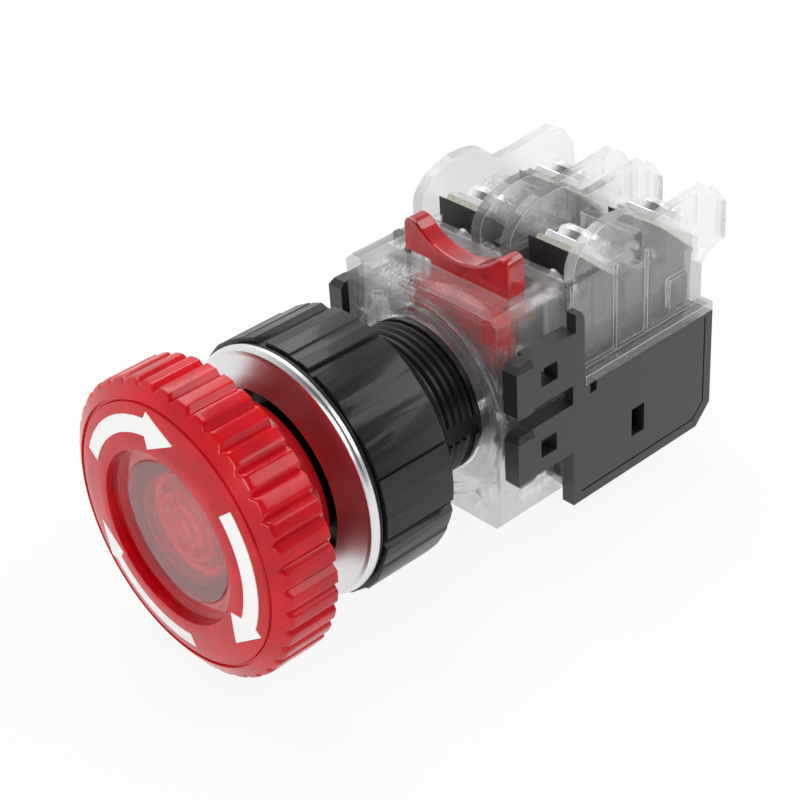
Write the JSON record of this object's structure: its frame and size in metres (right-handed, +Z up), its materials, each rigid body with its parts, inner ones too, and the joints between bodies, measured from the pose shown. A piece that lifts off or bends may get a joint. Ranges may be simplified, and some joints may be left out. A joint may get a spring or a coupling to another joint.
{
  "type": "emergency stop button",
  "caption": "Panel-mounted illuminated emergency stop: red turn-to-release mushroom head, threaded barrel with lock nut, clear latch collar and contact blocks under clear terminal covers.",
  "frame": {"origin": "on the barrel axis at the panel seat, the plane of the gasket's rear face", "axes": "+Y runs along the barrel from the operator side to the back of the panel, +X is right and +Z is up, the side of the latch lever and the terminals"},
  "size_m": [0.041, 0.0878, 0.0431],
  "materials": {
    "red_cap": "translucent red polycarbonate",
    "red_lens": "translucent red polycarbonate",
    "red_diffuser": "ribbed red diffuser",
    "white_print": "white pad print",
    "red_stem": "gloss red",
    "natural_nylon": "natural nylon",
    "black_nylon": "semi-gloss black",
    "black_cover": "fine moulded satin black",
    "spring_steel": "drawn wire",
    "satin_aluminium": "satin turned, anodised",
    "black_rubber": "rubber",
    "clear_cover": "clear polycarbonate",
    "red_slider": "translucent red polycarbonate",
    "grey_base": "dark grey moulding",
    "plated_brass": "nickel plated",
    "zinc_steel": "bright zinc plate",
    "copper": "copper alloy",
    "lamp_plastic": "milky lamp body"
  },
  "bodies": {
    "operator": {"bezel_ring": "satin_aluminium", "barrel": "black_nylon", "panel_gasket": "black_rubber", "core_clip": "spring_steel"},
    "core": {"push_core": "black_nylon", "pusher_plate": "natural_nylon", "turn_spring": "spring_steel", "return_spring": "spring_steel"},
    "head": {"knob_cap": "red_cap", "knob_lens": "red_lens", "lens_diffuser": "red_diffuser", "arrow_marks": "white_print", "knob_stem": "red_stem", "release_cam": "natural_nylon"},
    "washer": {"anti_turn_washer": "black_nylon"},
    "nut": {"lock_nut": "black_nylon"},
    "rear_unit": {"latch_collar": "clear_cover", "latch_spring": "spring_steel", "side_cover_left": "black_cover", "side_cover_right": "black_cover", "contact_base_left": "grey_base", "contact_base_right": "grey_base", "terminal_cover_left": "clear_cover", "terminal_cover_right": "clear_cover", "front_terminal_left": "plated_brass", "front_terminal_right": "plated_brass", "rear_terminal_left": "plated_brass", "rear_terminal_right": "plated_brass", "terminal_washers": "zinc_steel", "terminal_screws": "zinc_steel", "plunger_spring_left": "spring_steel", "plunger_spring_right": "spring_steel", "lamp_holder": "natural_nylon", "led_lamp": "lamp_plastic", "lamp_contacts": "copper"},
    "slider": {"latch_slider": "red_slider"},
    "contact_left": {"plunger_left": "natural_nylon", "contact_bridge_left": "copper", "contact_spring_left": "spring_steel"},
    "contact_right": {"plunger_right": "natural_nylon", "contact_bridge_right": "copper", "contact_spring_right": "spring_steel"}
  },
  "joints": [
    {"name": "button_press", "type": "slide", "parent": "operator", "child": "core", "axis": [0, 1, 0], "range_m": [0, 0.0044], "stiffness_N_per_m": 1500, "springref_m": -0.008, "deforming": ["return_spring"]},
    {"name": "button_turn", "type": "hinge", "parent": "core", "child": "head", "pos_m": [0, 0, 0], "axis": [0, 1, 0], "range_deg": [0, 40], "stiffness_Nm_per_rad": 0.05, "springref_deg": -11.46},
    {"name": "nut_travel", "type": "slide", "parent": "operator", "child": "washer", "axis": [0, 1, 0], "range_m": [0, 0.007]},
    {"name": "nut_spin", "type": "hinge", "parent": "washer", "child": "nut", "pos_m": [0, 0, 0], "axis": [0, 1, 0], "range_deg": [0, 2016]},
    {"name": "rear_unit_pull", "type": "slide", "parent": "operator", "child": "rear_unit", "axis": [0, 1, 0], "range_m": [0, 0.035]},
    {"name": "latch_slide", "type": "slide", "parent": "rear_unit", "child": "slider", "axis": [-1, 0, 0], "range_m": [0, 0.003], "stiffness_N_per_m": 600, "springref_m": -0.004, "deforming": ["latch_spring"]},
    {"name": "contact_left_slide", "type": "slide", "parent": "rear_unit", "child": "contact_left", "axis": [0, 1, 0], "range_m": [0, 0.0044], "stiffness_N_per_m": 200, "springref_m": -0.004, "deforming": ["plunger_spring_left"]},
    {"name": "contact_right_slide", "type": "slide", "parent": "rear_unit", "child": "contact_right", "axis": [0, 1, 0], "range_m": [0, 0.0044], "stiffness_N_per_m": 200, "springref_m": -0.004, "deforming": ["plunger_spring_right"]}
  ],
  "couplings": [
    {"joint": "nut_spin", "follows": "nut_travel", "rad_per_m": 5026.5},
    {"joint": "contact_left_slide", "follows": "button_press", "ratio": 1},
    {"joint": "contact_right_slide", "follows": "button_press", "ratio": 1}
  ]
}
